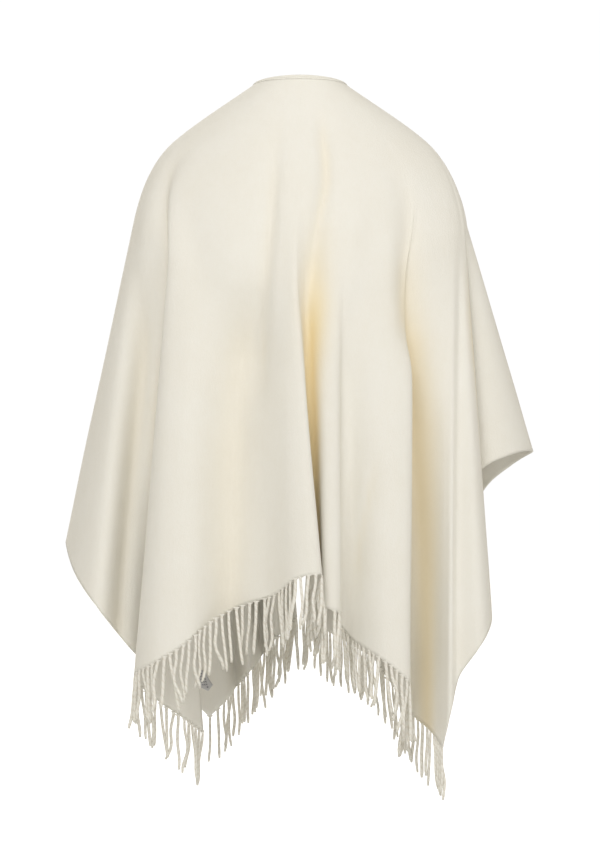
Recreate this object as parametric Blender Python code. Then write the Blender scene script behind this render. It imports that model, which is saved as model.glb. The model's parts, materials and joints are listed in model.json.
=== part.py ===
# A fringed wool cape of the ruana kind, worn: a rectangle of cloth with a slit up the front.
# Metres, +Z up. The origin is the middle of the neck opening. The back faces +Y, the front -Y,
# and +X is the wearer's left.
import math

import bmesh
import bpy
import numpy as np

for item in list(bpy.data.objects):
    bpy.data.objects.remove(item, do_unlink=True)

CLOTH = 0.0024          # thickness of the brushed wool
FRINGE = 0.0044         # thickness of a twisted strand
FRINGE_DROP = 0.083     # how far the fringe hangs below a hem
SEAM = 0.0003           # gap between two pieces that are sewn together
BIND_WIDTH = 0.006      # neck binding, down each face
BIND_WALL = 0.0012
LABEL_WALL = 0.0006
FACET = 0.031           # width of a facet at the bottom edge
ROWS = np.array([0, 0.05, 0.1, 0.14, 0.19, 0.245, 0.3, 0.45, 0.62, 0.81, 1])     # facets down a line
IVORY = (0.80, 0.76, 0.66)
BINDING_IVORY = (0.82, 0.79, 0.70)
LABEL_WHITE = (0.78, 0.77, 0.74)
LABEL_CORNER = (-0.0104, 0.955)     # along the bottom edge from the front corner's line, and down it
LABEL_SIDE = (0.0133, -0.0255)      # from that corner of the label along its edges
LABEL_DEEP = (0.0270, 0.0091)

# Where the cloth lies on the wearer: ellipses, with the heights at side, back and front.
NECK = {"half": 0.0685, "back": 0.055, "front": 0.075, "side_z": 0.0, "back_z": 0.0065, "front_z": -0.075}
YOKE = {"half": 0.193, "back": 0.115, "front": 0.095, "side_z": -0.087, "back_z": -0.158, "front_z": -0.160}
ARM = {"half": 0.258, "back": 0.142, "front": 0.135, "side_z": -0.219, "back_z": -0.330, "front_z": -0.330}
LEVELS = np.array([0.0, 0.14, 0.30, 1.0])   # neck, yoke, arm and bottom edge along a line
SHOULDER_ROUND = 0.18   # how softly the cloth turns over the shoulder line
SHOULDER_PULL = math.radians(20)    # folds lean towards the shoulder point on the yoke
FRONT_EDGE = math.radians(80)       # bearing of the front edges on the arm ring
NECK_SHARE = 0.29       # the front edges stand this much nearer the side at the neck

# The bottom edge, from the left front edge round the back to the right one. Each line of the
# cloth runs from the neck to one of these points: bearing on the rings in degrees, how far it
# stands out or in on the arm ring, and the point itself. A name marks a cloth corner or a fold.
EDGE = [
    ("front_edge_left", -80, 0.000, (0.006, -0.165, -0.837)),
    ("", -75, 0.008, (0.018, -0.225, -0.859)),
    ("", -70, -0.004, (0.036, -0.150, -0.867)),
    ("", -65, 0.010, (0.063, -0.235, -0.906)),
    ("", -60, -0.002, (0.081, -0.150, -0.925)),
    ("", -56, 0.006, (0.105, -0.205, -0.955)),
    ("", -50, 0.000, (0.125, -0.142, -0.976)),
    ("front_corner_left", -45, 0.000, (0.146, -0.130, -0.995)),
    ("", -39, 0.000, (0.177, -0.120, -0.963)),
    ("", -33, 0.008, (0.208, -0.180, -0.938)),
    ("", -28, 0.010, (0.245, -0.245, -0.908)),
    ("", -22, 0.004, (0.287, -0.230, -0.860)),
    ("", -16, 0.000, (0.302, -0.150, -0.817)),
    ("", -8, 0.000, (0.348, -0.125, -0.761)),
    ("arm_left", 0, 0.000, (0.366, -0.030, -0.708)),
    ("", 6, 0.000, (0.343, 0.045, -0.757)),
    ("", 13, 0.000, (0.303, 0.085, -0.809)),
    ("", 21, 0.000, (0.269, 0.055, -0.857)),
    ("", 31, -0.008, (0.218, -0.020, -0.924)),
    ("back_corner_left", 37, -0.006, (0.150, 0.000, -1.003)),
    ("", 39, 0.000, (0.182, 0.048, -0.973)),
    ("", 41, 0.006, (0.220, 0.058, -0.946)),
    ("ridge_left", 43, 0.010, (0.250, 0.100, -0.904)),
    ("", 46, 0.009, (0.223, 0.140, -0.885)),
    ("", 53, 0.000, (0.171, 0.150, -0.853)),
    ("", 62, 0.000, (0.126, 0.124, -0.816)),
    ("", 69, 0.000, (0.083, 0.115, -0.797)),
    ("", 75, -0.004, (0.057, 0.112, -0.790)),
    ("", 80, 0.000, (0.037, 0.130, -0.781)),
    ("", 85, 0.003, (0.004, 0.170, -0.753)),
    ("ridge_centre", 88, 0.008, (-0.030, 0.178, -0.747)),
    ("", 90, -0.002, (-0.018, 0.120, -0.770)),
    ("valley_centre", 92, -0.010, (-0.015, 0.072, -0.788)),
    ("", 92.8, -0.010, (-0.028, 0.070, -0.794)),
    ("", 95, -0.004, (-0.033, 0.108, -0.798)),
    ("", 99.5, 0.002, (-0.037, 0.148, -0.800)),
    ("", 101.5, 0.002, (-0.056, 0.148, -0.804)),
    ("", 105, -0.002, (-0.057, 0.090, -0.825)),
    ("", 108, -0.002, (-0.076, 0.085, -0.848)),
    ("", 112, 0.000, (-0.095, 0.115, -0.860)),
    ("", 119, 0.002, (-0.127, 0.143, -0.879)),
    ("ridge_right", 128, 0.006, (-0.162, 0.140, -0.909)),
    ("", 131, 0.000, (-0.156, 0.075, -0.938)),
    ("valley_right", 135, -0.008, (-0.171, 0.020, -0.972)),
    ("", 141, -0.004, (-0.199, 0.050, -0.993)),
    ("back_corner_right", 149, 0.002, (-0.215, 0.105, -1.012)),
    ("", 153, 0.004, (-0.224, 0.125, -0.966)),
    ("", 157, 0.004, (-0.237, 0.105, -0.911)),
    ("", 161, 0.004, (-0.273, 0.115, -0.856)),
    ("ridge_arm", 165, 0.004, (-0.291, 0.060, -0.810)),
    ("", 168, 0.000, (-0.262, 0.016, -0.775)),
    ("valley_arm", 171, -0.006, (-0.219, -0.040, -0.715)),
    ("", 174, -0.002, (-0.250, -0.025, -0.643)),
    ("", 176.7, 0.000, (-0.286, 0.018, -0.590)),
    ("", 178.4, 0.000, (-0.329, 0.002, -0.572)),
    ("arm_right", 180, 0.000, (-0.368, -0.060, -0.568)),
    ("", 186, 0.000, (-0.347, -0.130, -0.586)),
    ("", 193, 0.002, (-0.308, -0.165, -0.619)),
    ("", 201, 0.006, (-0.281, -0.235, -0.683)),
    ("", 208, 0.008, (-0.253, -0.260, -0.780)),
    ("", 215, 0.004, (-0.222, -0.200, -0.880)),
    ("", 221, 0.000, (-0.203, -0.132, -0.950)),
    ("front_corner_right", 226, 0.000, (-0.181, -0.130, -0.984)),
    ("", 231, 0.000, (-0.165, -0.142, -0.966)),
    ("", 236, 0.004, (-0.144, -0.194, -0.941)),
    ("", 240, -0.002, (-0.121, -0.145, -0.905)),
    ("", 245, 0.010, (-0.094, -0.230, -0.894)),
    ("", 250, -0.004, (-0.060, -0.150, -0.867)),
    ("", 255, 0.008, (-0.030, -0.220, -0.857)),
    ("front_edge_right", 260, 0.000, (-0.006, -0.170, -0.838)),
]
CORNERS = ("front_corner_left", "back_corner_left", "back_corner_right", "front_corner_right")

names = [row[0] for row in EDGE]
bearings = np.radians([row[1] for row in EDGE])
stands = np.array([row[2] for row in EDGE])
ends = np.array([row[3] for row in EDGE])
sharp = np.array([name in CORNERS for name in names])
along = np.concatenate([[0.0], np.cumsum(np.linalg.norm(np.diff(ends, axis=0), axis=1))])


def place(name):
    """How far round the bottom edge a named line stands."""
    return along[names.index(name)]


def hermite(start, end, leaving, arriving, span, w):
    """The cubic that joins two points with the given slopes, at the share w of the span."""
    return ((2 * w**3 - 3 * w**2 + 1) * start + (w**3 - 2 * w**2 + w) * span * leaving
            + (3 * w**2 - 2 * w**3) * end + (w**3 - w**2) * span * arriving)


def smooth(values, t, cornered=False):
    """The values of EDGE, a smooth curve through all rows; with cornered, sharp at the cloth's corners."""
    values = values.reshape(len(values), -1)
    spans = np.diff(along)[:, None]
    slopes = np.diff(values, axis=0) / spans
    middle = (spans[1:] * slopes[:-1] + spans[:-1] * slopes[1:]) / (spans[1:] + spans[:-1])
    arriving = np.concatenate([slopes[:1], middle, slopes[-1:]])
    leaving = arriving.copy()
    if cornered:
        turned = np.flatnonzero(sharp)
        arriving[turned], leaving[turned] = slopes[turned - 1], slopes[turned]
    row = np.clip(np.searchsorted(along, t, side="right") - 1, 0, len(along) - 2)
    w = ((t - along[row]) / np.diff(along)[row])[:, None]
    return hermite(values[row], values[row + 1], leaving[row], arriving[row + 1], spans[row], w)


def ring(sizes, bearing):
    """Points of an ellipse round the wearer that droops from the shoulder line to back and front."""
    turn = np.sin(bearing)
    deep = np.where(turn > 0, sizes["back"], sizes["front"])
    low = np.where(turn > 0, sizes["back_z"], sizes["front_z"]) - sizes["side_z"]
    round_off = SHOULDER_ROUND
    droop = (np.sqrt(turn**2 + round_off**2) - round_off) / (math.sqrt(1 + round_off**2) - round_off)
    return np.stack([sizes["half"] * np.cos(bearing), deep * turn, sizes["side_z"] + low * droop], -1)


def lines(t):
    """Four control points of each line at t: on the neck, the yoke, the arm ring and the bottom edge."""
    bearing = smooth(bearings, t)[:, 0]
    leaning = bearing - SHOULDER_PULL * np.sin(2 * bearing) * np.abs(np.cos(bearing))
    past = np.clip(-bearing, 0, None) - np.clip(bearing - math.pi, 0, None)
    at_neck = bearing + NECK_SHARE * FRONT_EDGE * (past / FRONT_EDGE) ** 3
    arm = ring(ARM, bearing)
    outward = arm * (1, 1, 0)
    outward /= np.linalg.norm(outward, axis=1)[:, None]
    arm = arm + outward * smooth(stands, t)
    return np.stack([ring(NECK, at_neck), ring(YOKE, leaning), arm, smooth(ends, t, cornered=True)], 1)


def cloth(t, v):
    """The middle of the cloth: t runs round the bottom edge, v from the neck, 0, down to that edge, 1."""
    control = lines(t)
    spans = np.diff(LEVELS)
    slopes = np.diff(control, axis=1) / spans[None, :, None]
    at_yoke = 0.8 * slopes[:, 0] + 0.2 * slopes[:, 1]
    tangents = np.stack([slopes[:, 0], at_yoke, slopes[:, 2], slopes[:, 2]], 1)
    row = np.clip(np.searchsorted(LEVELS, v, side="right") - 1, 0, 2)
    w = ((v - LEVELS[row]) / spans[row])[None, :, None]
    return hermite(control[:, row], control[:, row + 1], tangents[:, row], tangents[:, row + 1],
                   spans[row][None, :, None], w)


def normals(t, v):
    """Outward normals of the cloth, the same on both sides of a seam."""
    step = 1e-4
    t_low, t_high = np.clip(t - step, 0, along[-1]), np.clip(t + step, 0, along[-1])
    v_low, v_high = np.clip(v - step, 0, 1), np.clip(v + step, 0, 1)
    across = cloth(t_high, v) - cloth(t_low, v)
    down = cloth(t, v_high) - cloth(t, v_low)
    found = np.cross(down, across)
    return found / np.linalg.norm(found, axis=2)[..., None]


def finish(name, colour, roughness):
    material = bpy.data.materials.new(name)
    material.use_nodes = True
    shader = material.node_tree.nodes["Principled BSDF"]
    shader.inputs["Base Color"].default_value = (*colour, 1)
    shader.inputs["Roughness"].default_value = roughness
    shader.inputs["Metallic"].default_value = 0.0
    return material


def add_body(name, points, faces, colour, roughness=0.95):
    """One closed body from its points and faces, with its faces turned outwards."""
    mesh = bpy.data.meshes.new(name)
    mesh.from_pydata(points.tolist(), [], faces.tolist())
    shell = bmesh.new()
    shell.from_mesh(mesh)
    bmesh.ops.recalc_face_normals(shell, faces=shell.faces)
    shell.to_mesh(mesh)
    shell.free()
    mesh.shade_smooth()
    mesh.set_sharp_from_angle(angle=math.radians(50))
    mesh.materials.append(finish(name, colour, roughness))
    body = bpy.data.objects.new(name, mesh)
    bpy.context.collection.objects.link(body)
    return body


def add_wall(name, outer, inner, colour):
    """A closed wall between two facing grids. Each quad is split along its shorter diagonal, the same on
    both faces."""
    count, size = outer.shape[:2]
    front = np.arange(count * size).reshape(count, size)
    back = front + count * size
    middle = (outer + inner) / 2
    falling = (np.linalg.norm(middle[:-1, :-1] - middle[1:, 1:], axis=2)
               <= np.linalg.norm(middle[1:, :-1] - middle[:-1, 1:], axis=2))
    strips = [(grid[:-1, :-1], grid[1:, :-1], grid[1:, 1:], grid[:-1, 1:], falling) for grid in (front, back)]
    for edge in (0, -1):
        strips.append((front[:-1, edge], front[1:, edge], back[1:, edge], back[:-1, edge], True))
        strips.append((front[edge, :-1], front[edge, 1:], back[edge, 1:], back[edge, :-1], True))
    faces = []
    for a, b, c, d, split in strips:
        faces.append(np.stack([a, b, np.where(split, c, d)], -1).reshape(-1, 3))
        faces.append(np.stack([np.where(split, a, b), c, d], -1).reshape(-1, 3))
    points = np.concatenate([outer.reshape(-1, 3), inner.reshape(-1, 3)])
    return add_body(name, points, np.concatenate(faces), colour)


def columns(first, last):
    """Places round the bottom edge from one named line to another, each span in equal parts of about FACET."""
    places = []
    for row in range(names.index(first), names.index(last)):
        parts = max(1, round((along[row + 1] - along[row]) / FACET))
        places += [along[row] + (along[row + 1] - along[row]) * i / parts for i in range(parts)]
    return np.array([*places, place(last)])


def add_panel(name, first, last, seam_at_first, seam_at_last):
    """A panel of the cape, held back by half a seam along the shoulder line."""
    t = columns(first, last)
    middle, out = cloth(t, ROWS), normals(t, ROWS)
    for edge, towards, seamed in ((0, 1, seam_at_first), (-1, -2, seam_at_last)):
        if seamed:
            inward = middle[towards] - middle[edge]
            middle[edge] += inward / np.linalg.norm(inward, axis=1)[:, None] * SEAM / 2
    add_wall(name, middle + out * CLOTH / 2, middle - out * CLOTH / 2, IVORY)


def add_fringe(name, first, last):
    """The reach of the strands under a hem: they hang straight down from it."""
    t = columns(first, last)
    before, hem = cloth(t, ROWS[-2:]).transpose(1, 0, 2)
    out = normals(t, ROWS[-1:])[:, 0]
    down = hem - before
    down /= np.linalg.norm(down, axis=1)[:, None]
    top = hem + down * SEAM
    level = out * (1, 1, 0)
    level /= np.linalg.norm(level, axis=1)[:, None]
    foot = top - (0, 0, FRINGE_DROP)
    outer = np.stack([top + out * CLOTH / 2, foot + level * FRINGE / 2], 1)
    inner = np.stack([top - out * CLOTH / 2, foot - level * FRINGE / 2], 1)
    add_wall(name, outer, inner, IVORY)


def add_binding():
    """A strip folded over the neck edge: eight points round a U at each place."""
    t = columns("front_edge_left", "front_edge_right")
    edge, below = cloth(t, ROWS[:2]).transpose(1, 0, 2)
    out = normals(t, ROWS[:1])[:, 0]
    up = edge - below
    up /= np.linalg.norm(up, axis=1)[:, None]
    near, far = CLOTH / 2 + SEAM, CLOTH / 2 + SEAM + BIND_WALL
    profile = [(far, -BIND_WIDTH), (far, SEAM + BIND_WALL), (-far, SEAM + BIND_WALL), (-far, -BIND_WIDTH),
               (-near, -BIND_WIDTH), (-near, SEAM), (near, SEAM), (near, -BIND_WIDTH)]
    sections = np.stack([edge + out * side + up * height for side, height in profile], 1)
    count = len(t)
    index = np.arange(count * 8).reshape(count, 8)
    following = np.roll(index, -1, axis=1)
    faces = np.stack([index[:-1], index[1:], following[1:], following[:-1]], -1).reshape(-1, 4)
    caps = [[row[a], row[b], row[c], row[d]] for row in (index[0], index[-1])
            for a, b, c, d in ((0, 1, 6, 7), (1, 2, 5, 6), (2, 3, 4, 5))]
    add_body("neck_binding", sections.reshape(-1, 3), np.concatenate([faces, caps]), BINDING_IVORY)


def add_label():
    """A small woven label on the inner face of the left front, square to its hem and side edge."""
    side, deep = np.meshgrid(np.linspace(0, 1, 5), np.linspace(0, 1, 4), indexing="ij")
    t = place("front_corner_left") + LABEL_CORNER[0] + side * LABEL_SIDE[0] + deep * LABEL_DEEP[0]
    v = LABEL_CORNER[1] + side * LABEL_SIDE[1] + deep * LABEL_DEEP[1]
    each = np.arange(t.size)
    middle, out = cloth(t.ravel(), v.ravel())[each, each], normals(t.ravel(), v.ravel())[each, each]
    middle, out = middle.reshape(*t.shape, 3), out.reshape(*t.shape, 3)
    near = CLOTH / 2 + SEAM
    add_wall("label", middle - out * near, middle - out * (near + LABEL_WALL), LABEL_WHITE)


add_panel("back_panel", "arm_left", "arm_right", True, True)
add_panel("front_left_panel", "front_edge_left", "arm_left", False, True)
add_panel("front_right_panel", "arm_right", "front_edge_right", True, False)
add_fringe("fringe_back", "back_corner_left", "back_corner_right")
add_fringe("fringe_front_left", "front_edge_left", "front_corner_left")
add_fringe("fringe_front_right", "front_corner_right", "front_edge_right")
add_binding()
add_label()
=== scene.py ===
# The looks of a fringed wool cape of the ruana kind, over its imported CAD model.
# Metres, +Z up. The back faces +Y, and +X is the wearer's left.
import json
import math

import bpy
import numpy as np
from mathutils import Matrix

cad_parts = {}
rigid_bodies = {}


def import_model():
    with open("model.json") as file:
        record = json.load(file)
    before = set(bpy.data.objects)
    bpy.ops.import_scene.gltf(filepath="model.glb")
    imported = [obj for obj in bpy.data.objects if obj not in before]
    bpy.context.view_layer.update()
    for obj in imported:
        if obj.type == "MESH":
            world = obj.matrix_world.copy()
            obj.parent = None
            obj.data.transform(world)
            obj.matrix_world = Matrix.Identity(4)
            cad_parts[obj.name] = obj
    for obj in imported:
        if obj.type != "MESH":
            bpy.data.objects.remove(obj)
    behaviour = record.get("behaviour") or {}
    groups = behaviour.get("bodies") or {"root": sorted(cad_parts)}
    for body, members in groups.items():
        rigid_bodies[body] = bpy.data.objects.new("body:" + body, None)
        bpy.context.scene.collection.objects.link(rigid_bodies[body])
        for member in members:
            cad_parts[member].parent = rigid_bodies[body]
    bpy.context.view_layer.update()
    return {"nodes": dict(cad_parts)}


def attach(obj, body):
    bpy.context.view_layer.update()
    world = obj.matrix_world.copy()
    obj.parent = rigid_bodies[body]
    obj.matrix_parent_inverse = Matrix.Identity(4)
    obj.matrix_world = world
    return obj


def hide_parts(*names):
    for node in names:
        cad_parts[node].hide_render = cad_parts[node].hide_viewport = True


for item in list(bpy.data.objects):
    bpy.data.objects.remove(item, do_unlink=True)
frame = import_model()
print("frame loaded:", sorted(frame["nodes"]))

# how the cloth lies on the wearer, on the same lines as the CAD panels: ellipses round the wearer, with
# the heights at side, back and front
neckRing = {"half": 0.0685, "back": 0.055, "front": 0.075, "sideZ": 0.0, "backZ": 0.0065, "frontZ": -0.075}
yokeRing = {"half": 0.193, "back": 0.115, "front": 0.095, "sideZ": -0.087, "backZ": -0.158, "frontZ": -0.160}
armRing = {"half": 0.258, "back": 0.142, "front": 0.135, "sideZ": -0.219, "backZ": -0.330, "frontZ": -0.330}
drape = {
    "levels": np.array([0.0, 0.14, 0.30, 1.0]),     # neck, yoke, arm and bottom edge along a line
    "yokeSlopes": (0.8, 0.2),   # shares of the slopes above and below in the slope at the yoke
    "shoulderRound": 0.18,      # how softly the cloth turns over the shoulder line
    "shoulderPull": math.radians(20),   # folds lean towards the shoulder point on the yoke
    "frontEdge": math.radians(80),      # bearing of the front edges on the arm ring
    "neckShare": 0.29,      # the front edges stand this much nearer the side at the neck
    "foldRound": 0.016,     # how far along the bottom edge a sharp fold is rounded, each way
    "foldShares": ((-1, 0.08), (-0.6, 0.2), (-0.25, 0.22), (0.25, 0.22), (0.6, 0.2), (1, 0.08)),
    "fineSteps": 3000,      # where an edge is measured
    "aboveHem": 0.985,      # a place on a line just above the hem,
    "belowNeck": 0.03,      # and one just below the neck
}
# the bottom edge from the left front edge round the back to the right one: name, bearing in degrees,
# how far the line stands out on the arm ring, and its point on the edge
edgeLine = [
    ("front_edge_left", -80, 0.000, (0.006, -0.165, -0.837)),
    ("", -75, 0.008, (0.018, -0.225, -0.859)),
    ("", -70, -0.004, (0.036, -0.150, -0.867)),
    ("", -65, 0.010, (0.063, -0.235, -0.906)),
    ("", -60, -0.002, (0.081, -0.150, -0.925)),
    ("", -56, 0.006, (0.105, -0.205, -0.955)),
    ("", -50, 0.000, (0.125, -0.142, -0.976)),
    ("front_corner_left", -45, 0.000, (0.146, -0.130, -0.995)),
    ("", -39, 0.000, (0.177, -0.120, -0.963)),
    ("", -33, 0.008, (0.208, -0.180, -0.938)),
    ("", -28, 0.010, (0.245, -0.245, -0.908)),
    ("", -22, 0.004, (0.287, -0.230, -0.860)),
    ("", -16, 0.000, (0.302, -0.150, -0.817)),
    ("", -8, 0.000, (0.348, -0.125, -0.761)),
    ("arm_left", 0, 0.000, (0.366, -0.030, -0.708)),
    ("", 6, 0.000, (0.343, 0.045, -0.757)),
    ("", 13, 0.000, (0.303, 0.085, -0.809)),
    ("", 21, 0.000, (0.269, 0.055, -0.857)),
    ("", 31, -0.008, (0.218, -0.020, -0.924)),
    ("back_corner_left", 37, -0.006, (0.150, 0.000, -1.003)),
    ("", 39, 0.000, (0.182, 0.048, -0.973)),
    ("", 41, 0.006, (0.220, 0.058, -0.946)),
    ("ridge_left", 43, 0.010, (0.250, 0.100, -0.904)),
    ("", 46, 0.009, (0.223, 0.140, -0.885)),
    ("", 53, 0.000, (0.171, 0.150, -0.853)),
    ("", 62, 0.000, (0.126, 0.124, -0.816)),
    ("", 69, 0.000, (0.083, 0.115, -0.797)),
    ("", 75, -0.004, (0.057, 0.112, -0.790)),
    ("", 80, 0.000, (0.037, 0.130, -0.781)),
    ("", 85, 0.003, (0.004, 0.170, -0.753)),
    ("ridge_centre", 88, 0.008, (-0.030, 0.178, -0.747)),
    ("", 90, -0.002, (-0.018, 0.120, -0.770)),
    ("valley_centre", 92, -0.010, (-0.015, 0.072, -0.788)),
    ("", 92.8, -0.010, (-0.028, 0.070, -0.794)),
    ("", 95, -0.004, (-0.033, 0.108, -0.798)),
    ("", 99.5, 0.002, (-0.037, 0.148, -0.800)),
    ("", 101.5, 0.002, (-0.056, 0.148, -0.804)),
    ("", 105, -0.002, (-0.057, 0.090, -0.825)),
    ("", 108, -0.002, (-0.076, 0.085, -0.848)),
    ("", 112, 0.000, (-0.095, 0.115, -0.860)),
    ("", 119, 0.002, (-0.127, 0.143, -0.879)),
    ("ridge_right", 128, 0.006, (-0.162, 0.140, -0.909)),
    ("", 131, 0.000, (-0.156, 0.075, -0.938)),
    ("valley_right", 135, -0.008, (-0.171, 0.020, -0.972)),
    ("", 141, -0.004, (-0.199, 0.050, -0.993)),
    ("back_corner_right", 149, 0.002, (-0.215, 0.105, -1.012)),
    ("", 153, 0.004, (-0.224, 0.125, -0.966)),
    ("", 157, 0.004, (-0.237, 0.105, -0.911)),
    ("", 161, 0.004, (-0.273, 0.115, -0.856)),
    ("ridge_arm", 165, 0.004, (-0.291, 0.060, -0.810)),
    ("", 168, 0.000, (-0.262, 0.016, -0.775)),
    ("valley_arm", 171, -0.006, (-0.219, -0.040, -0.715)),
    ("", 174, -0.002, (-0.250, -0.025, -0.643)),
    ("", 176.7, 0.000, (-0.286, 0.018, -0.590)),
    ("", 178.4, 0.000, (-0.329, 0.002, -0.572)),
    ("arm_right", 180, 0.000, (-0.368, -0.060, -0.568)),
    ("", 186, 0.000, (-0.347, -0.130, -0.586)),
    ("", 193, 0.002, (-0.308, -0.165, -0.619)),
    ("", 201, 0.006, (-0.281, -0.235, -0.683)),
    ("", 208, 0.008, (-0.253, -0.260, -0.780)),
    ("", 215, 0.004, (-0.222, -0.200, -0.880)),
    ("", 221, 0.000, (-0.203, -0.132, -0.950)),
    ("front_corner_right", 226, 0.000, (-0.181, -0.130, -0.984)),
    ("", 231, 0.000, (-0.165, -0.142, -0.966)),
    ("", 236, 0.004, (-0.144, -0.194, -0.941)),
    ("", 240, -0.002, (-0.121, -0.145, -0.905)),
    ("", 245, 0.010, (-0.094, -0.230, -0.894)),
    ("", 250, -0.004, (-0.060, -0.150, -0.867)),
    ("", 255, 0.008, (-0.030, -0.220, -0.857)),
    ("front_edge_right", 260, 0.000, (-0.006, -0.170, -0.838)),
]
cornerNames = ("front_corner_left", "back_corner_left", "back_corner_right", "front_corner_right")


def runAlong(points):   # how far along a row of points each one lies: the sum of the steps before it
    return np.concatenate([[0.0], np.cumsum(np.linalg.norm(np.diff(points, axis=0), axis=1))])


def unit(vectors):      # each vector divided by its length
    return vectors / np.maximum(np.linalg.norm(vectors, axis=-1), 1e-12)[..., None]


lineNames = [row[0] for row in edgeLine]
lineBearings = np.radians([row[1] for row in edgeLine])
lineStands = np.array([row[2] for row in edgeLine])
lineEnds = np.array([row[3] for row in edgeLine])
lineAt = runAlong(lineEnds)
cornerRows = [lineNames.index(name) for name in cornerNames]
cornerAt = lineAt[cornerRows]
edgeLength = lineAt[-1]


def placeOf(name):      # how far round the bottom edge a named line stands
    return lineAt[lineNames.index(name)]


def hermite(start, end, leaving, arriving, span, w):    # the cubic between two points with given slopes
    return ((2 * w**3 - 3 * w**2 + 1) * start + (w**3 - 2 * w**2 + w) * span * leaving
            + (3 * w**2 - 2 * w**3) * end + (w**3 - w**2) * span * arriving)


def alongEdge(values, t, cornered=False):   # a smooth curve through the rows of edgeLine, or sharp at corners
    # a cubic between two rows, its slope at a row weighted towards the nearer neighbour
    values = values.reshape(len(values), -1)
    spans = np.diff(lineAt)[:, None]
    slopes = np.diff(values, axis=0) / spans
    middle = (spans[1:] * slopes[:-1] + spans[:-1] * slopes[1:]) / (spans[1:] + spans[:-1])
    arriving = np.concatenate([slopes[:1], middle, slopes[-1:]])
    leaving = arriving.copy()
    if cornered:
        turned = np.array(cornerRows)
        arriving[turned], leaving[turned] = slopes[turned - 1], slopes[turned]
    row = np.clip(np.searchsorted(lineAt, t, side="right") - 1, 0, len(lineAt) - 2)
    w = ((t - lineAt[row]) / np.diff(lineAt)[row])[:, None]
    return hermite(values[row], values[row + 1], leaving[row], arriving[row + 1], spans[row], w)


def ringPoints(sizes, bearing):     # an ellipse that droops from the shoulder line to back and front
    turn = np.sin(bearing)
    deep = np.where(turn > 0, sizes["back"], sizes["front"])
    low = np.where(turn > 0, sizes["backZ"], sizes["frontZ"]) - sizes["sideZ"]
    r = drape["shoulderRound"]
    droop = (np.sqrt(turn**2 + r**2) - r) / (math.sqrt(1 + r**2) - r)
    return np.stack([sizes["half"] * np.cos(bearing), deep * turn, sizes["sideZ"] + low * droop], -1)


def plainLines(t):      # four points of each line: on the neck, the yoke, the arm ring and the bottom edge
    bearing = alongEdge(lineBearings, t)[:, 0]
    leaning = bearing - drape["shoulderPull"] * np.sin(2 * bearing) * np.abs(np.cos(bearing))
    past = np.clip(-bearing, 0, None) - np.clip(bearing - math.pi, 0, None)
    atNeck = bearing + drape["neckShare"] * drape["frontEdge"] * (past / drape["frontEdge"]) ** 3
    arm = ringPoints(armRing, bearing)
    arm = arm + unit(arm * (1, 1, 0)) * alongEdge(lineStands, t)
    return np.stack([ringPoints(neckRing, atNeck), ringPoints(yokeRing, leaning), arm,
                     alongEdge(lineEnds, t, cornered=True)], 1)


def roundedLines(t):    # the lines averaged over a short reach, which rounds the folds but not the corners
    borders = np.concatenate([[0.0, edgeLength], cornerAt])
    reach = np.minimum(drape["foldRound"], np.abs(t[:, None] - borders).min(axis=1))
    total = 0
    for offset, share in drape["foldShares"]:
        total = total + share * plainLines(np.clip(t + offset * reach, 0, edgeLength))
    return total


def clothPoints(t, v):      # t runs round the bottom edge, v from the neck, 0, down to that edge, 1
    # each line is a cubic from ring to ring and straight below the arm ring
    levels = drape["levels"]
    control = roundedLines(t)
    spans = np.diff(levels)
    slopes = np.diff(control, axis=1) / spans[None, :, None]
    above, below = drape["yokeSlopes"]
    atYoke = above * slopes[:, 0] + below * slopes[:, 1]
    tangents = np.stack([slopes[:, 0], atYoke, slopes[:, 2], slopes[:, 2]], 1)
    row = np.clip(np.searchsorted(levels, v, side="right") - 1, 0, 2)
    w = ((v - levels[row]) / spans[row])[None, :, None]
    return hermite(control[:, row], control[:, row + 1], tangents[:, row], tangents[:, row + 1],
                   spans[row][None, :, None], w)


def gridNormals(points):    # outward normals of a grid, from the differences along its two ways
    across = np.gradient(points, axis=0)
    down = np.gradient(points, axis=1)
    return unit(np.cross(down, across))


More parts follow.
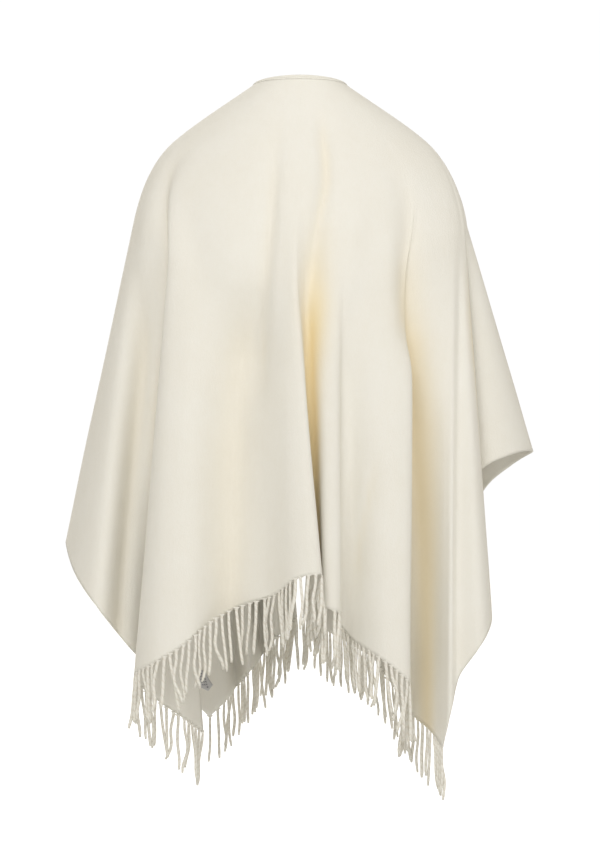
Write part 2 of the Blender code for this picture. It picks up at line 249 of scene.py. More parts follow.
# soft folds that the lines alone don't give, and the painted shade of the deep ones, a yellowish tone laid in
# the colour: places (t, v) counted from a named line, reach across in metres, height outwards in metres, and
# how strong the painted shade is in its middle
softFolds = [
    {"line": "ridge_centre", "path": [(-0.128, 0.03), (-0.107, 0.09), (-0.097, 0.15), (-0.095, 0.20),
                                      (-0.101, 0.25), (-0.116, 0.37), (-0.123, 0.60)],
     "reach": 0.012, "height": -0.0095, "paintedShade": 0.10},
    {"line": "ridge_centre", "path": [(-0.125, 0.24), (-0.172, 0.60), (-0.184, 1.00)],
     "reach": 0.040, "height": -0.0380, "paintedShade": 0.14},
    {"line": "valley_centre", "path": [(0.185, 0.03), (0.125, 0.09), (0.101, 0.145), (0.068, 0.195),
                                       (0.050, 0.246), (0.044, 0.34)],
     "reach": 0.012, "height": -0.0095, "paintedShade": 0.22},
    {"line": "valley_centre", "path": [(0.090, 0.14), (0.058, 0.25), (0.053, 0.32), (0.038, 0.40),
                                       (0.020, 0.49), (0.016, 0.58), (0.022, 0.67), (0.026, 0.76),
                                       (0.028, 1.00)],
     "reach": 0.030, "height": 0.0, "paintedShade": 1.0},
    {"line": "valley_centre", "path": [(0.028, 0.42), (0.044, 0.67), (0.060, 0.90), (0.060, 1.00)],
     "reach": 0.024, "height": 0.0100, "paintedShade": 0.0},
    {"line": "ridge_left", "path": [(-0.132, 0.10), (-0.172, 0.20), (-0.212, 0.31), (-0.252, 0.46),
                                    (-0.282, 0.62)],
     "reach": 0.017, "height": -0.0080, "paintedShade": 0.10},
    {"line": "back_corner_left", "path": [(-0.205, 0.32), (-0.232, 0.70), (-0.240, 1.00)],
     "reach": 0.030, "height": -0.0210, "paintedShade": 0.14},
    {"line": "back_corner_left", "path": [(-0.100, 0.40), (-0.110, 0.70), (-0.120, 1.00)],
     "reach": 0.030, "height": 0.0110, "paintedShade": 0.14},
    {"line": "ridge_right", "path": [(-0.010, 0.10), (-0.002, 0.22), (0.005, 0.278), (0.016, 0.346),
                                     (0.060, 0.410), (0.130, 0.48), (0.150, 0.55), (0.163, 0.66),
                                     (0.175, 0.90)],
     "reach": 0.022, "height": -0.0200, "paintedShade": 0.15},
    {"line": "ridge_right", "path": [(-0.002, 0.18), (0.006, 0.28), (0.040, 0.35), (0.106, 0.41),
                                     (0.138, 0.47), (0.153, 0.53), (0.161, 0.59), (0.168, 0.65),
                                     (0.174, 0.74), (0.178, 1.00)],
     "reach": 0.034, "height": 0.0, "paintedShade": 0.60},
    {"line": "ridge_right", "path": [(-0.055, 0.60), (-0.079, 0.72), (-0.103, 0.81), (-0.108, 0.92)],
     "reach": 0.010, "height": -0.0050, "paintedShade": 0.10},
    {"line": "valley_arm", "path": [(-0.180, 0.30), (-0.168, 0.49), (-0.150, 0.60), (-0.120, 1.00)],
     "reach": 0.022, "height": 0.0, "paintedShade": 0.45},
    {"line": "ridge_centre", "path": [(0.002, 0.10), (0.012, 0.30), (0.002, 0.55)],
     "reach": 0.030, "height": 0.0040, "paintedShade": 0.0},
    {"line": "ridge_left", "path": [(0.088, 0.20), (0.108, 0.50), (0.118, 0.80)],
     "reach": 0.022, "height": 0.0030, "paintedShade": 0.0},
    {"line": "ridge_right", "path": [(-0.125, 0.12), (-0.145, 0.30), (-0.165, 0.50)],
     "reach": 0.022, "height": 0.0040, "paintedShade": 0.0},
    {"line": "arm_left", "path": [(-0.279, 0.15), (-0.299, 0.40), (-0.319, 0.80)],
     "reach": 0.020, "height": -0.0040, "paintedShade": 0.0},
    {"line": "arm_right", "path": [(0.298, 0.15), (0.318, 0.40), (0.338, 0.80)],
     "reach": 0.020, "height": -0.0040, "paintedShade": 0.0},
]


cloth = {
    "columns": 384,
    "rows": 122,
    "thickness": 0.0024,
    "turnShare": 0.006,     # how much closer the columns stand where the bottom edge turns,
    "turnSteps": 6001,      # measured in so many steps,
    "turnMost": 0.2,        # held to this in one step,
    "turnSpan": 25,         # and averaged over so many
    "ripple": 0.0009,       # slight unevenness of a worn cloth
    "ivory": (0.840, 0.826, 0.772),
    # the deep colour of the random clouds, and of the painted shade between the tufts
    "deepIvory": (0.805, 0.777, 0.700),
    "foldShadeIvory": (0.850, 0.715, 0.445),     # painted shade: the yellowish tone where a fold lies deep
    "napSize": 900.0,       # how fine the nap is
    "napDepth": 0.00035,
    "fade": 0.3,            # share of a soft fold's path over which it begins and ends
    "besideFold": 0.25,     # how far round the edge a soft fold can reach
    "facingReach": 26,      # columns on each side over which the cloth's facing is averaged
    "mapDepth": 0.9,        # from neck to hem on the cloth's map
}


def closerAtFolds(count, share):    # places round the edge, even in its length plus a share of its turning
    fine = np.linspace(0, edgeLength, cloth["turnSteps"])
    edge = roundedLines(fine)[:, 3]
    step = np.diff(edge, axis=0)
    length = np.linalg.norm(step, axis=1)
    way = step / length[:, None]
    turn = np.concatenate([[0], np.linalg.norm(np.diff(way, axis=0), axis=1)])
    average = np.ones(cloth["turnSpan"]) / cloth["turnSpan"]
    turn = np.convolve(np.minimum(turn, cloth["turnMost"]), average, mode="same")
    weight = np.concatenate([[0], np.cumsum(length + share * turn)])
    places = np.interp(np.linspace(0, weight[-1], count), weight, fine)
    for corner in cornerAt:     # the nearest column moves onto each corner of the cloth
        places[np.abs(places - corner).argmin()] = corner
    return places


def softBells(points, t, v):    # height of the soft folds over a grid, and the painted shade in them
    # across each path a bell of the distance over the reach, and along it a smooth rise and fall
    height, paintedShade = np.zeros(points.shape[:2]), np.zeros(points.shape[:2])
    rows = np.arange(len(v))
    for fold in softFolds:
        path = np.array(fold["path"])
        centre = placeOf(fold["line"]) + np.interp(v, path[:, 1], path[:, 0])
        column = np.interp(centre, t, np.arange(len(t)))
        low = np.clip(column.astype(int), 0, len(t) - 2)
        part = (column - low)[:, None]
        middle = points[low, rows] * (1 - part) + points[low + 1, rows] * part
        away = np.linalg.norm(points - middle[None], axis=2)
        first, last = path[0, 1], path[-1, 1]
        fade = np.clip((v - first) / (cloth["fade"] * (last - first)), 0, 1)
        if last < 1:        # a path that doesn't reach the hem fades at its lower end as well
            fade = fade * np.clip((last - v) / (cloth["fade"] * (last - first)), 0, 1)
        near = np.abs(t[:, None] - centre[None]) < cloth["besideFold"]
        rise = (fade**2 * (3 - 2 * fade))[None]
        bell = np.exp(-(away / fold["reach"]) ** 2) * near
        height += fold["height"] * bell * rise
        paintedShade = np.maximum(paintedShade, fold["paintedShade"] * bell**2 * rise)
    return height, paintedShade


def facing(normals, reach):     # the normals averaged along each row, the near ones weighing more
    weight = np.hanning(2 * reach + 1)
    weight /= weight.sum()
    padded = np.pad(normals, ((reach, reach), (0, 0), (0, 0)), mode="edge")
    mean = sum(share * padded[i:i + len(normals)] for i, share in enumerate(weight))
    return unit(mean)


def ripples(t, v):      # the mean of three slow slanting sine waves that never line up
    t, v = t[:, None], v[None]
    waves = ((9.0, 7.0, 0.0), (15.0, -11.0, 1.3), (5.0, 17.0, 2.1))     # turn with t, turn with v, start
    return sum(np.sin(a * t + b * v + start) for a, b, start in waves) / len(waves)


def gridFaces(columns, rows, closed=False):     # quads of a grid whose second index runs down
    index = np.arange(columns * rows).reshape(columns, rows)
    if closed:
        index = np.concatenate([index, index[:, :1]], axis=1)
    return np.stack([index[:-1, :-1], index[:-1, 1:], index[1:, 1:], index[1:, :-1]], -1).reshape(-1, 4)


def addWall(piece, thickness):      # gives a surface its thickness, half on each side
    wall = piece.modifiers.new("wall", "SOLIDIFY")
    wall.thickness = thickness
    wall.offset = 0.0


def meshPiece(name, points, faces, uv=None, smooth=True):   # a mesh object from arrays, quads only
    mesh = bpy.data.meshes.new(name)
    mesh.vertices.add(len(points))
    mesh.vertices.foreach_set("co", np.ascontiguousarray(points, np.float32).ravel())
    mesh.loops.add(faces.size)
    mesh.loops.foreach_set("vertex_index", faces.astype(np.int32).ravel())
    mesh.polygons.add(len(faces))
    mesh.polygons.foreach_set("loop_start", np.arange(len(faces), dtype=np.int32) * 4)
    mesh.update(calc_edges=True)
    if uv is not None:
        layer = mesh.uv_layers.new(name="cut")
        layer.data.foreach_set("uv", uv[faces.ravel()].astype(np.float32).ravel())
    mesh.polygons.foreach_set("use_smooth", np.full(len(faces), smooth))
    mesh.validate()
    piece = bpy.data.objects.new(name, mesh)
    bpy.context.scene.collection.objects.link(piece)
    return piece


clothT = closerAtFolds(cloth["columns"], cloth["turnShare"])
clothV = np.linspace(0, 1, cloth["rows"])
flatCloth = clothPoints(clothT, clothV)
clothOut = gridNormals(flatCloth)
# painted shade: how strongly each deep fold gets the yellowish shade tone in its colour
softRise, paintedFoldShade = softBells(flatCloth, clothT, clothV)
uneven = cloth["ripple"] * ripples(clothT, clothV) * clothV[None]
softRise = facing(clothOut, cloth["facingReach"]) * softRise[..., None]
clothGrid = flatCloth + clothOut * uneven[..., None] + softRise
cutAcross = runAlong(clothGrid[:, -1])
cutDown = clothV * cloth["mapDepth"]
cutUv = np.stack(np.broadcast_arrays(cutAcross[:, None], cutDown[None]), -1).reshape(-1, 2)
capeCloth = meshPiece("cape_cloth", clothGrid.reshape(-1, 3), gridFaces(len(clothT), len(clothV)), cutUv)
# the painted fold shade is kept on the cloth for its material
foldShadeLayer = capeCloth.data.attributes.new("paintedFoldShade", "FLOAT", "POINT")
foldShadeLayer.data.foreach_set("value", paintedFoldShade.astype(np.float32).ravel())
addWall(capeCloth, cloth["thickness"])
print("cape cloth:", len(capeCloth.data.polygons), "quads a side")


fringe = {
    "pitch": 0.0112,        # along the back hem
    "frontPitch": 0.0175,
    "frontClump": 0.1,
    "radius": 0.0024,
    "length": 0.083,
    "lengths": (0.86, 1.06),        # shortest and longest, as shares of the length
    "thicknesses": (0.9, 1.12),     # thinnest and thickest, as shares of the radius
    "uneven": 0.0016,       # how far a root is off its even place
    "inset": 0.002,         # from the corners of the cloth to the first and last strand
    "rootRings": [0.0, 0.012, 0.020, 0.030, 0.043, 0.062],      # shares of a strand's length,
    "rings": 11,            # so many more below them,
    "ringsFrom": 0.09,      # from here to the tip
    "sides": 8,
    "rootArch": 0.0030,     # radius of the little arch of cloth between two strands
    "rootThin": 0.55,       # a strand is as thin as the cloth at its root
    "rootShare": 0.10,
    "tuck": 0.0010,         # how far the root reaches into the hem
    "turnDown": 7,          # how soon a strand hangs straight down
    "sway": 0.0050,
    "swayShare": 0.9,
    "swayPower": 1.4,       # how late along a strand the slow bend comes,
    "curl": 0.0030,
    "curlOut": 0.5,         # of the curl that goes in and out
    "curlPower": 0.8,       # how late the wave comes,
    "leanPower": 1.3,       # and the lean of the group
    "waves": 1.15,          # of the curl along a strand
    "clump": 0.75,          # how much neighbouring ends lean together
    "groupSize": (2, 7),    # from two strands to one fewer than seven
    "groupLean": 0.004,
    "taper": ([0, 0.9, 0.97, 1.0], [1.0, 1.0, 1.04, 0.72]),     # cut ends that open a little
    "plyPitch": 0.0105,
    "plyDepth": 0.0004,
    "napShare": 0.3,        # of the nap in the height, beside the plies
    # painted shade in the grooves between the plies
    "grooveShadeTone": (0.55, 0.47, 0.33, 1),
    "grooveShadeShare": 0.22,    # how far the colour goes over to the painted groove shade in a groove
}


def strandRoots(first, last, pitch, rng):   # places one pitch apart along a hem, give or take a little
    # with each: how far along it is, where, which way the cloth leaves it, and which way the hem runs
    fine = np.linspace(placeOf(first), placeOf(last), drape["fineSteps"])
    before, hem = clothPoints(fine, np.array([drape["aboveHem"], 1.0])).transpose(1, 0, 2)
    far = runAlong(hem)
    count = int(round(far[-1] / pitch)) + 1
    at = np.linspace(fringe["inset"], far[-1] - fringe["inset"], count)
    at[1:-1] += rng.uniform(-fringe["uneven"], fringe["uneven"], count - 2)
    root, leave, side = (np.stack([np.interp(at, far, part[:, i]) for i in range(3)], 1)
                         for part in (hem, hem - before, np.gradient(hem, axis=0)))
    return at, root, unit(leave), unit(side * (1, 1, 0))


def groupLeans(at, clump, rng):     # tips lean towards the middle of their group, by a share of their own
    lean = np.zeros(len(at))
    start = 0
    while start < len(at):
        size = int(rng.integers(*fringe["groupSize"]))
        group = slice(start, start + size)
        lean[group] = (at[group].mean() - at[group]) * clump * rng.uniform(0, 1) ** 2
        lean[group] += rng.normal(0, fringe["groupLean"])
        start += size
    return lean


def strandPaths(s, length, root, leave, side, out, lean, rng):
    # a path leaves the hem along the cloth and turns down as an exponential dies away; a slow bend, a sine
    # wave and the lean of its group move it sideways, more towards its tip
    count = len(root)
    sway = rng.normal(0, fringe["sway"], (count, 2))
    phase = rng.uniform(0, 2 * math.pi, (count, 2))
    curl = rng.normal(0, fringe["curl"], (count, 2)) * (1, fringe["curlOut"])
    turned = 1 - np.exp(-s[None, :, None] * fringe["turnDown"])
    way = unit(leave[:, None] * (1 - turned) + np.array([0, 0, -1.0]) * turned)
    steps = (way[:, 1:] + way[:, :-1]) / 2 * np.diff(s)[None, :, None] * length[:, None, None]
    path = root[:, None] - leave[:, None] * fringe["tuck"]
    path = path + np.concatenate([np.zeros((count, 1, 3)), np.cumsum(steps, axis=1)], axis=1)
    wave = np.sin(2 * math.pi * fringe["waves"] * s[None, :, None] + phase[:, None]) - np.sin(phase[:, None])
    late, soon = ((s**fringe[power])[None, :, None] for power in ("swayPower", "curlPower"))
    bend = sway[:, None] * late * fringe["swayShare"] + curl[:, None] * wave * soon
    aside = bend[..., :1] + (lean[:, None] * s**fringe["leanPower"])[..., None]
    return path + side[:, None] * aside + out[:, None] * bend[..., 1:]


def strandTubes(s, path, out, pitch, rng):
    # rings round each path: at the hem a ring spreads by a quarter circle on each side, so that an arch of
    # cloth stands between two roots, and it is as thin as the cloth
    tangent = unit(np.gradient(path, axis=1))
    across = unit(np.cross(tangent, out[:, None]))
    through = np.cross(tangent, across)
    atRoot = np.exp(-(s / fringe["rootShare"]) ** 1.5)      # one at the hem, and it dies away below
    arch = fringe["rootArch"] * pitch / fringe["pitch"]
    drop = np.clip(s * fringe["length"] - fringe["tuck"], 0, arch)
    spread = arch - np.sqrt(arch**2 - (arch - drop) ** 2)
    across *= (1 + spread / fringe["radius"])[None, :, None]
    through *= (1 + (fringe["rootThin"] - 1) * atRoot)[None, :, None]
    angle = np.linspace(0, 2 * math.pi, fringe["sides"], endpoint=False)
    radius = fringe["radius"] * np.interp(s, *fringe["taper"])[None, :]
    radius = radius * rng.uniform(*fringe["thicknesses"], len(path))[:, None]
    ring = across[:, :, None] * np.cos(angle)[:, None] + through[:, :, None] * np.sin(angle)[:, None]
    return path[:, :, None] + ring * radius[:, :, None, None]


def strandFaces(count, rings, sides):   # quads round every tube, and rows of quads across its two ends
    index = np.arange(count * rings * sides).reshape(count, rings, sides)
    turned = np.roll(index, -1, axis=2)
    walls = np.stack([index[:, :-1], turned[:, :-1], turned[:, 1:], index[:, 1:]], -1).reshape(-1, 4)
    root, tip = index[:, 0], index[:, -1]
    ends = []
    for k in range(sides // 2 - 1):
        far = sides - 1 - k
        ends.append(np.stack([root[:, k], root[:, far], root[:, far - 1], root[:, k + 1]], -1))
        ends.append(np.stack([tip[:, k], tip[:, k + 1], tip[:, far - 1], tip[:, far]], -1))
    return np.concatenate([walls, *ends])


def strandsAlong(name, first, last, seed, pitch, clump):    # the twisted strands that hang from one hem
    rng = np.random.default_rng(seed)
    at, root, leave, side = strandRoots(first, last, pitch, rng)
    out = np.cross(side, (0, 0, 1.0))
    s = np.concatenate([fringe["rootRings"], np.linspace(fringe["ringsFrom"], 1, fringe["rings"])])
    length = fringe["length"] * rng.uniform(*fringe["lengths"], len(at))
    path = strandPaths(s, length, root, leave, side, out, groupLeans(at, clump, rng), rng)
    tube = strandTubes(s, path, out, pitch, rng)
    count, rings, sides = tube.shape[:3]
    halfWay = np.abs(np.linspace(-1, 1, sides, endpoint=False))     # round a strand and back, without a seam
    down = (s[None, :] * length[:, None])[..., None]
    uv = np.stack(np.broadcast_arrays(halfWay, down), -1).reshape(-1, 2)
    print(name, count, "strands")
    return meshPiece(name, tube.reshape(-1, 3), strandFaces(count, rings, sides), uv)


fringeBack = strandsAlong("back_fringe", "back_corner_left", "back_corner_right", 7, fringe["pitch"],
                          fringe["clump"])
fringeLeft = strandsAlong("left_front_fringe", "front_edge_left", "front_corner_left", 19,
                          fringe["frontPitch"], fringe["frontClump"])
fringeRight = strandsAlong("right_front_fringe", "front_corner_right", "front_edge_right", 23,
                           fringe["frontPitch"], fringe["frontClump"])


binding = {
    "down": 0.0062,         # how far it reaches down each face
    "wall": 0.0008,
    "bulge": 0.0004,
    "gap": 0.0001,          # between it and the cloth
    "slant": 0.0006,        # of its lower edges, and of the sides of its top
    "slantIn": 0.0004,      # how far the lower edges stand in
    "hollowTop": 0.0002,    # its inner side lies this far over the neck edge
    "top": 0.0014,          # how far it stands over the neck edge
    "steps": 260,           # along the neck
    "ivory": (0.835, 0.815, 0.735),
    "stitchPitch": 0.0032,
    "stitchAt": 0.0030,     # round the band from its lower outer edge
    "stitchHalf": 0.0005,
    # painted shade in the sunk stitches
    "stitchShadeTone": (0.60, 0.54, 0.42, 1),
    "stitchShadeShare": 0.35,    # how far the colour goes over to the painted stitch shade in a stitch
    "napDepth": 0.0003,
}


def bindingSection():   # the band across: how far out from the cloth's middle, and up from the neck edge
    thick = cloth["thickness"] / 2 + binding["gap"]
    far = thick + binding["wall"]
    deep, slant, top, inner = binding["down"], binding["slant"], binding["top"], binding["hollowTop"]
    full, edge = far + binding["bulge"], far - binding["slantIn"]
    return np.array([(thick, -deep), (edge, -deep + slant), (full, -deep * 0.65), (full, -deep * 0.25),
                     (far * 0.75, slant), (far * 0.3, top), (-far * 0.3, top), (-far * 0.75, slant),
                     (-full, -deep * 0.25), (-full, -deep * 0.65), (-edge, -deep + slant),
                     (-thick, -deep), (-thick, inner), (thick, inner)])


def neckBinding():      # the band's section carried along the neck edge, upright on the cloth
    t = np.linspace(0, edgeLength, drape["fineSteps"])
    run = runAlong(clothPoints(t, np.array([0.0]))[:, 0])
    even = np.interp(np.linspace(0, run[-1], binding["steps"]), run, t)
    top, below = clothPoints(even, np.array([0.0, drape["belowNeck"]])).transpose(1, 0, 2)
    up = unit(top - below)
    out = unit(np.cross(unit(np.gradient(top, axis=0)), up))
    out = out * np.sign((out * top * (1, 1, 0)).sum(axis=1).mean())     # away from the wearer
    section = bindingSection()
    tube = top[:, None] + out[:, None] * section[None, :, :1] + up[:, None] * section[None, :, 1:]
    count, size = tube.shape[:2]
    uv = np.stack(np.broadcast_arrays(runAlong(top)[:, None], runAlong(section)[None]), -1).reshape(-1, 2)
    last = (count - 1) * size
    caps = []
    for a, b, c, d in ((0, 1, 2, 11), (2, 9, 10, 11), (2, 3, 8, 9), (3, 4, 7, 8), (4, 5, 6, 7),
                       (0, 11, 12, 13)):
        caps.append((a, b, c, d))
        caps.append((last + d, last + c, last + b, last + a))
    faces = np.concatenate([gridFaces(count, size, closed=True), np.array(caps)])
    return meshPiece("neck_band", tube.reshape(-1, 3), faces, uv)


neckBand = neckBinding()


label = {
    "corner": (-0.0104, 0.955),     # along the bottom edge from the front corner's line, and down it
    "side": (0.0133, -0.0255),      # from that corner of the label along its edges
    "deep": (0.0270, 0.0091),
    "thickness": 0.0006,
    "lift": 0.0007,         # of its middle off the cloth
    "points": 13,           # each way
    "grey": (0.55, 0.55, 0.56, 1),
    "dashTones": ((0.05, 0.055, 0.08, 1), (0.09, 0.10, 0.13, 1)),
    "dashWidth": 0.13,
    "rowHeight": 0.22,
    "dashGap": 0.045,
    "written": (0.34, 0.30),        # half the share of the label that the dashes take, each way
    "weaveSize": 60.0,
    "weaveDepth": 0.0001,
}


def labelPatch():       # a small grid on the inner face of the left front, moved inwards along its normals
    size = label["points"]
    side, deep = np.meshgrid(np.linspace(0, 1, size), np.linspace(0, 1, size), indexing="ij")
    t = placeOf("front_corner_left") + label["corner"][0] + side * label["side"][0] + deep * label["deep"][0]
    v = label["corner"][1] + side * label["side"][1] + deep * label["deep"][1]
    each = np.arange(t.size)
    step = 1e-3
    spot, nextT, nextV = (clothPoints(t.ravel() + a, v.ravel() + b)[each, each].reshape(*t.shape, 3)
                          for a, b in ((0, 0), (step, 0), (0, step)))
    spot = spot - unit(np.cross(nextV - spot, nextT - spot)) * (cloth["thickness"] / 2 + label["lift"])
    uv = np.stack([side.ravel(), deep.ravel()], -1)
    piece = meshPiece("sewn_label", spot.reshape(-1, 3), gridFaces(size, size), uv)
    addWall(piece, label["thickness"])
    return piece


sewnLabel = labelPatch()
print("band and label made")


def feed(tree, socket, value):      # a socket takes a plain value, or what another socket gives
    if isinstance(value, bpy.types.NodeSocket):
        tree.links.new(value, socket)
    else:
        socket.default_value = value


def newGroup(name, inputs, outputs):    # an empty node group with its named sockets, and its two ends
    tree = bpy.data.node_groups.new(name, "ShaderNodeTree")
    for title, kind, value in inputs:
        socket = tree.interface.new_socket(name=title, in_out="INPUT", socket_type=kind)
        socket.default_value = value
    for title, kind in outputs:
        tree.interface.new_socket(name=title, in_out="OUTPUT", socket_type=kind)
    return tree, tree.nodes.new("NodeGroupInput"), tree.nodes.new("NodeGroupOutput")


def noise(tree, vector, scale, detail, rough=0.55):     # layers, each twice as fine and rough times as strong
    node = tree.nodes.new("ShaderNodeTexNoise")
    feed(tree, node.inputs["Scale"], scale)
    node.inputs["Detail"].default_value = detail
    node.inputs["Roughness"].default_value = rough
    tree.links.new(vector, node.inputs["Vector"])
    return node.outputs["Fac"]


def mapRange(tree, value, low, high, toLow, toHigh):    # low to high becomes toLow to toHigh, held past them
    node = tree.nodes.new("ShaderNodeMapRange")
    for title, limit in (("From Min", low), ("From Max", high), ("To Min", toLow), ("To Max", toHigh)):
        node.inputs[title].default_value = limit
    tree.links.new(value, node.inputs["Value"])
    return node.outputs["Result"]


def reckon(tree, operation, *values):   # one sum of plain values and sockets
    node = tree.nodes.new("ShaderNodeMath")
    node.operation = operation
    for socket, value in zip(node.inputs, values):
        feed(tree, socket, value)
    return node.outputs[0]


def mixTones(tree, factor, first, second):      # the first colour at 0, the second at 1
    node = tree.nodes.new("ShaderNodeMix")
    node.data_type = "RGBA"
    tree.links.new(factor, node.inputs["Factor"])
    feed(tree, node.inputs[6], first)
    feed(tree, node.inputs[7], second)
    return node.outputs[2]


def cutMap(tree):   # the piece's own map, whole and as its two parts
    cut = tree.nodes.new("ShaderNodeUVMap")
    cut.uv_map = "cut"
    parts = tree.nodes.new("ShaderNodeSeparateXYZ")
    tree.links.new(cut.outputs["UV"], parts.inputs[0])
    return cut.outputs["UV"], parts.outputs["X"], parts.outputs["Y"]


wool = {
    "brushed": (1.0, 1.0, 0.35),    # the nap is drawn out downwards
    "tuftSize": 170.0,
    "tuftShare": 0.7,       # of the tufts in the height, beside the fine nap
    "cloudSize": 14.0,
    "mottleAndGapShade": 0.35,       # how much of the deep colour the clouds bring, and again the painted shade between the tufts
    "specular": 0.15,
    "sheenRoughness": 0.45,
    "sheenTint": (1.0, 0.96, 0.88, 1),
    "clothSheen": 0.25,
    "yarnSheen": 0.2,
    "bandSheen": 0.1,
    "yarnNap": 1400.0,
    "bandNap": 1500.0,
}


def woolGroup():    # brushed wool: random clouds and painted shade between the tufts add up to the tone, tufts and fine nap to the height
    inputs = [("Light", "NodeSocketColor", (1, 1, 1, 1)), ("Deep", "NodeSocketColor", (1, 1, 1, 1)),
              ("Nap Size", "NodeSocketFloat", cloth["napSize"])]
    outputs = [("Color", "NodeSocketColor"), ("Height", "NodeSocketFloat"), ("Roughness", "NodeSocketFloat")]
    tree, start, end = newGroup("woolNap", inputs, outputs)
    place = tree.nodes.new("ShaderNodeTexCoord").outputs["Object"]
    stretch = tree.nodes.new("ShaderNodeMapping")
    stretch.inputs["Scale"].default_value = wool["brushed"]
    tree.links.new(place, stretch.inputs["Vector"])
    brushed = stretch.outputs["Vector"]
    fine = noise(tree, brushed, start.outputs["Nap Size"], 2.0, 0.6)
    tufts = noise(tree, brushed, wool["tuftSize"], 3.0, 0.6)
    clouds = noise(tree, place, wool["cloudSize"], 4.0, 0.5)
    height = reckon(tree, "MULTIPLY_ADD", tufts, wool["tuftShare"], fine)
    cloudy = mapRange(tree, clouds, 0.3, 0.7, 0.0, wool["mottleAndGapShade"])
    # painted shade: the colour goes to the deep one where the nap is low, between the tufts
    tuftGapShade = mapRange(tree, height, 0.6, 1.1, wool["mottleAndGapShade"], 0.0)
    tone = reckon(tree, "ADD", cloudy, tuftGapShade)
    color = mixTones(tree, tone, start.outputs["Light"], start.outputs["Deep"])
    tree.links.new(color, end.inputs["Color"])
    tree.links.new(height, end.inputs["Height"])
    tree.links.new(mapRange(tree, fine, 0.3, 0.7, 0.85, 1.0), end.inputs["Roughness"])
    return tree


def twistGroup():   # two plies that wind round each other: the sine of the turns, half round and one a pitch
    tree, start, end = newGroup("yarnTwist", [("Pitch", "NodeSocketFloat", fringe["plyPitch"])],
                                [("Height", "NodeSocketFloat"), ("Groove", "NodeSocketFloat")])
    _, aroundStrand, downStrand = cutMap(tree)
    turns = reckon(tree, "DIVIDE", downStrand, start.outputs["Pitch"])
    total = reckon(tree, "MULTIPLY_ADD", aroundStrand, 0.5, turns)
    wave = reckon(tree, "SINE", reckon(tree, "MULTIPLY", total, 2 * math.pi))
    tree.links.new(mapRange(tree, wave, -1.0, 0.4, 0.0, 1.0), end.inputs["Height"])
    tree.links.new(mapRange(tree, wave, -1.0, -0.3, 1.0, 0.0), end.inputs["Groove"])
    return tree


woolNap, yarnTwist = woolGroup(), twistGroup()


def newMaterial(name, roughness=0.95, sheen=0.0):   # a matt surface with a soft sheen of fibres
    material = bpy.data.materials.new(name)
    material.use_nodes = True
    shader = material.node_tree.nodes["Principled BSDF"]
    shader.inputs["Roughness"].default_value = roughness
    shader.inputs["Specular IOR Level"].default_value = wool["specular"]
    shader.inputs["Sheen Weight"].default_value = sheen
    shader.inputs["Sheen Roughness"].default_value = wool["sheenRoughness"]
    shader.inputs["Sheen Tint"].default_value = wool["sheenTint"]
    return material, material.node_tree, shader


def addNap(tree, light, deep, size):    # the wool group in a material, with its own colours and nap
    node = tree.nodes.new("ShaderNodeGroup")
    node.node_tree = woolNap
    node.inputs["Light"].default_value = (*light, 1)
    node.inputs["Deep"].default_value = (*deep, 1)
    node.inputs["Nap Size"].default_value = size
    return node


def bumpFrom(tree, shader, height, distance):   # the normal leans with the slope of height times distance
    bump = tree.nodes.new("ShaderNodeBump")
    bump.inputs["Distance"].default_value = distance
    bump.inputs["Strength"].default_value = 1.0
    tree.links.new(height, bump.inputs["Height"])
    tree.links.new(bump.outputs["Normal"], shader.inputs["Normal"])


def woolMaterial():     # the nap's colour goes over to the painted fold shade as far as the cloth's painted-shade attribute says
    material, tree, shader = newMaterial("brushed_wool", sheen=wool["clothSheen"])
    nap = addNap(tree, cloth["ivory"], cloth["deepIvory"], cloth["napSize"])
    foldShadeNode = tree.nodes.new("ShaderNodeAttribute")
    foldShadeNode.attribute_name = "paintedFoldShade"
    # painted shade: the deep folds take the yellowish shade tone
    color = mixTones(tree, foldShadeNode.outputs["Fac"], nap.outputs["Color"], (*cloth["foldShadeIvory"], 1))
    tree.links.new(color, shader.inputs["Base Color"])
    tree.links.new(nap.outputs["Roughness"], shader.inputs["Roughness"])
    bumpFrom(tree, shader, nap.outputs["Height"], cloth["napDepth"])
    return material


def yarnMaterial():     # painted shade dims the nap in the grooves between the plies, and nap and plies add up to the height
    material, tree, shader = newMaterial("twisted_wool", sheen=wool["yarnSheen"])
    nap = addNap(tree, cloth["ivory"], cloth["deepIvory"], wool["yarnNap"])
    twist = tree.nodes.new("ShaderNodeGroup")
    twist.node_tree = yarnTwist
    twist.inputs["Pitch"].default_value = fringe["plyPitch"]
    # painted shade in the grooves
    paintedShadeMix = mapRange(tree, twist.outputs["Groove"], 0, 1, 0, fringe["grooveShadeShare"])
    color = mixTones(tree, paintedShadeMix, nap.outputs["Color"], fringe["grooveShadeTone"])
    tree.links.new(color, shader.inputs["Base Color"])
    height = reckon(tree, "MULTIPLY_ADD", nap.outputs["Height"], fringe["napShare"], twist.outputs["Height"])
    bumpFrom(tree, shader, height, fringe["plyDepth"])
    return material


def bindingMaterial():      # smooth woven band: a sine along it, kept to one narrow line, marks the stitches, which sink into the height and get painted shade in the colour
    material, tree, shader = newMaterial("woven_band", sheen=wool["bandSheen"])
    nap = addNap(tree, binding["ivory"], cloth["ivory"], wool["bandNap"])
    _, alongBand, roundBand = cutMap(tree)
    wave = reckon(tree, "SINE", reckon(tree, "MULTIPLY", alongBand, 2 * math.pi / binding["stitchPitch"]))
    line = reckon(tree, "COMPARE", roundBand, binding["stitchAt"], binding["stitchHalf"])
    stitch = reckon(tree, "MULTIPLY", mapRange(tree, wave, -0.2, 0.3, 0, 1), line)
    # painted shade in the sunk stitches
    paintedShadeMix = mapRange(tree, stitch, 0, 1, 0, binding["stitchShadeShare"])
    color = mixTones(tree, paintedShadeMix, nap.outputs["Color"], binding["stitchShadeTone"])
    tree.links.new(color, shader.inputs["Base Color"])
    sunk = reckon(tree, "MULTIPLY_ADD", stitch, -1.0, nap.outputs["Height"])
    bumpFrom(tree, shader, sunk, binding["napDepth"])
    return material


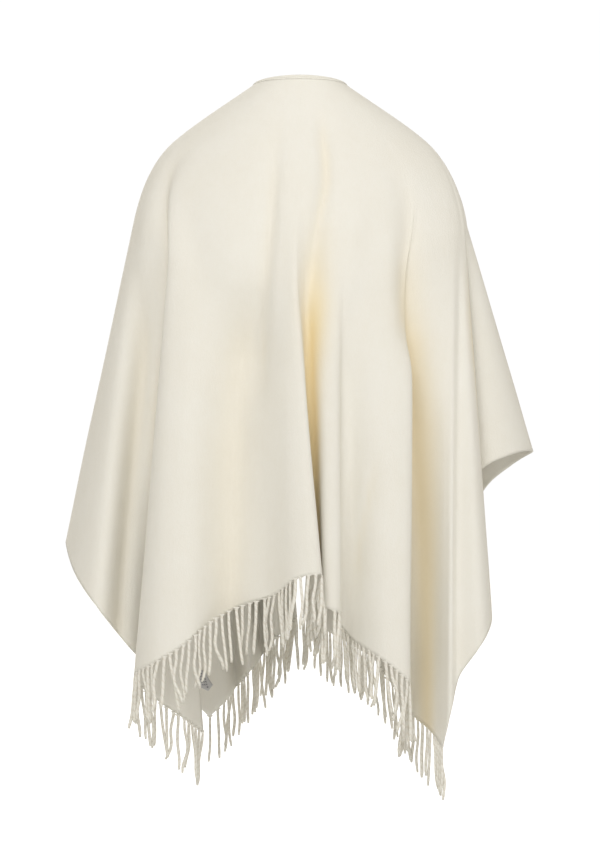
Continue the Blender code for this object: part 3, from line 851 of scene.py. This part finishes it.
def labelMaterial():    # pale grey weave, with rows of plain dark dashes where both ways are near the middle
    material, tree, shader = newMaterial("woven_label", roughness=0.7)
    cut, across, down = cutMap(tree)
    dashes = tree.nodes.new("ShaderNodeTexBrick")
    for title, value in (("Scale", 1.0), ("Brick Width", label["dashWidth"]),
                         ("Row Height", label["rowHeight"]), ("Mortar Size", label["dashGap"]),
                         ("Mortar Smooth", 0.2), ("Mortar", label["grey"]),
                         ("Color1", label["dashTones"][0]), ("Color2", label["dashTones"][1])):
        dashes.inputs[title].default_value = value
    tree.links.new(cut, dashes.inputs["Vector"])
    written = reckon(tree, "MULTIPLY", reckon(tree, "COMPARE", across, 0.5, label["written"][0]),
                     reckon(tree, "COMPARE", down, 0.5, label["written"][1]))
    color = mixTones(tree, written, label["grey"], dashes.outputs["Color"])
    tree.links.new(color, shader.inputs["Base Color"])
    bumpFrom(tree, shader, noise(tree, cut, label["weaveSize"], 2.0), label["weaveDepth"])
    return material


capeCloth.data.materials.append(woolMaterial())
yarn = yarnMaterial()
for piece in (fringeBack, fringeLeft, fringeRight):
    piece.data.materials.append(yarn)
neckBand.data.materials.append(bindingMaterial())
sewnLabel.data.materials.append(labelMaterial())
print("materials made")


# the place of each piece in the frame
for piece, nodes, slotName in (
        (capeCloth, ("back_panel", "front_left_panel", "front_right_panel"), "wool_cloth"),
        (fringeBack, ("fringe_back",), "wool_fringe"),
        (fringeLeft, ("fringe_front_left",), "wool_fringe"),
        (fringeRight, ("fringe_front_right",), "wool_fringe"),
        (neckBand, ("neck_binding",), "neck_binding"),
        (sewnLabel, ("label",), "label")):
    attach(piece, "root")
    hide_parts(*nodes)


stageSetup = {
    "floorZ": -1.30,        # the cape hangs clear of the floor
    "floorHalf": 9.0,
    "cameraPlace": (0.0, 3.6, -0.54),
    "lens": 96.4,
    "worldLight": 0.36,
    "worldTone": (1.0, 0.93, 0.80),     # what the surroundings throw on the cloth
    "worldGlow": 1.02,
    "floorTone": (0.86, 0.86, 0.85, 1),
    "floorLight": 0.12,
    "floorGlow": 0.80,
    # name, place, what it looks at, size across and power of each light
    "lights": (("key", (0.5, 3.4, 2.4), (0, 0, -0.45), 2.2, 98),
               ("fill", (-2.8, 3.0, 1.2), (0, 0, -0.5), 2.0, 28),
               ("front", (0.9, -3.4, 2.4), (0, 0, -0.5), 2.4, 84)),
}


def floorMaterial():    # pale, and a little brighter to the eye than what it throws back on the cloth
    material, tree, shader = newMaterial("pale_floor", roughness=0.9)
    shader.inputs["Base Color"].default_value = stageSetup["floorTone"]
    shader.inputs["Emission Color"].default_value = (1, 1, 1, 1)
    seen = tree.nodes.new("ShaderNodeLightPath")
    glow = mapRange(tree, seen.outputs["Is Camera Ray"], 0, 1, stageSetup["floorLight"],
                    stageSetup["floorGlow"])
    tree.links.new(glow, shader.inputs["Emission Strength"])
    return material


half, floorZ = stageSetup["floorHalf"], stageSetup["floorZ"]
floorPoints = np.array([(x * half, y * half, floorZ) for x, y in ((-1, -1), (1, -1), (1, 1), (-1, 1))])
floor = meshPiece("floor", floorPoints, np.array([[0, 1, 2, 3]]), smooth=False)
floor.data.materials.append(floorMaterial())

world = bpy.data.worlds.new("studio")       # it looks whiter and brighter to the eye than it lights
world.use_nodes = True
bpy.context.scene.world = world
sky = world.node_tree
background = sky.nodes["Background"]
seen = sky.nodes.new("ShaderNodeLightPath").outputs["Is Camera Ray"]
sky.links.new(mixTones(sky, seen, (*stageSetup["worldTone"], 1), (1, 1, 1, 1)), background.inputs["Color"])
sky.links.new(mapRange(sky, seen, 0, 1, stageSetup["worldLight"], stageSetup["worldGlow"]),
              background.inputs["Strength"])


def softBox(name, place, target, size, power):      # a square area light that looks at a point
    data = bpy.data.lights.new(name, "AREA")
    data.shape = "SQUARE"
    data.size = size
    data.energy = power
    lamp = bpy.data.objects.new(name, data)
    bpy.context.scene.collection.objects.link(lamp)
    lamp.location = place
    aim = np.array(target) - np.array(place)
    pitch = math.acos(-aim[2] / np.linalg.norm(aim))
    lamp.rotation_euler = (pitch, 0, math.atan2(aim[1], aim[0]) - math.pi / 2)


for light in stageSetup["lights"]:
    softBox(*light)

camera = bpy.data.objects.new("camera", bpy.data.cameras.new("camera"))
bpy.context.scene.collection.objects.link(camera)
camera.location = stageSetup["cameraPlace"]
camera.rotation_euler = (math.pi / 2, 0, math.pi)
camera.data.lens = stageSetup["lens"]
camera.data.sensor_width = 36
camera.data.dof.use_dof = False
bpy.context.scene.camera = camera
bpy.context.scene.view_settings.view_transform = "Standard"
bpy.context.scene.view_settings.look = "None"
print("stage set")
